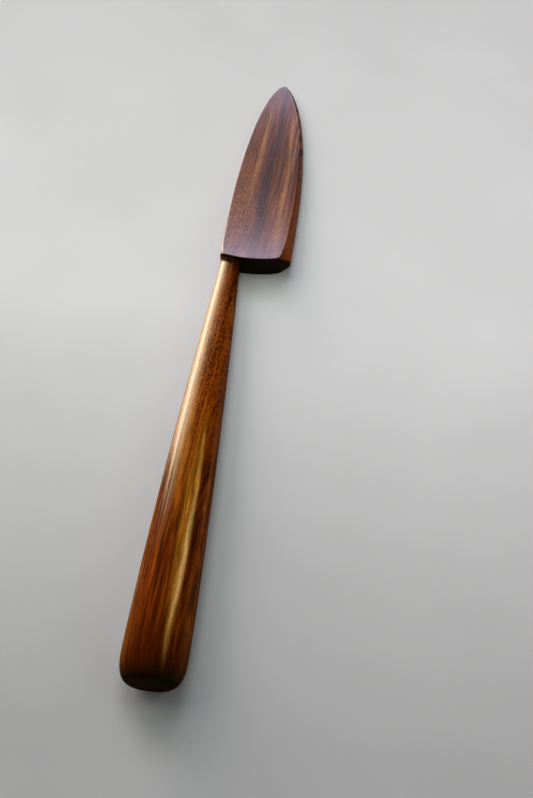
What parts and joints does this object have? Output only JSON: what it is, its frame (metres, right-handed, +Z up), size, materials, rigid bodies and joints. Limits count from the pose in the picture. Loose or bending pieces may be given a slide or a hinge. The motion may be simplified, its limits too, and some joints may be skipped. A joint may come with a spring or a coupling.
{
  "type": "butter knife",
  "caption": "Wooden butter knife with a pointed leaf-shaped blade, bevelled to a blunt edge, and a slim oval handle tenoned into its heel at the spine side.",
  "frame": {"origin": "on the surface that the knife lies on, under the middle of its outline", "axes": "+X from the spine towards the edge, +Y from the butt towards the tip, +Z up"},
  "size_m": [0.0234, 0.205, 0.01],
  "materials": {
    "blade_wood": "oiled, satin",
    "handle_wood": "oiled and rubbed, soft gloss",
    "wood_glue": "cured wood glue"
  },
  "bodies": {
    "root": {"blade": "blade_wood", "handle": "handle_wood", "glue_line": "wood_glue"}
  },
  "joints": []
}
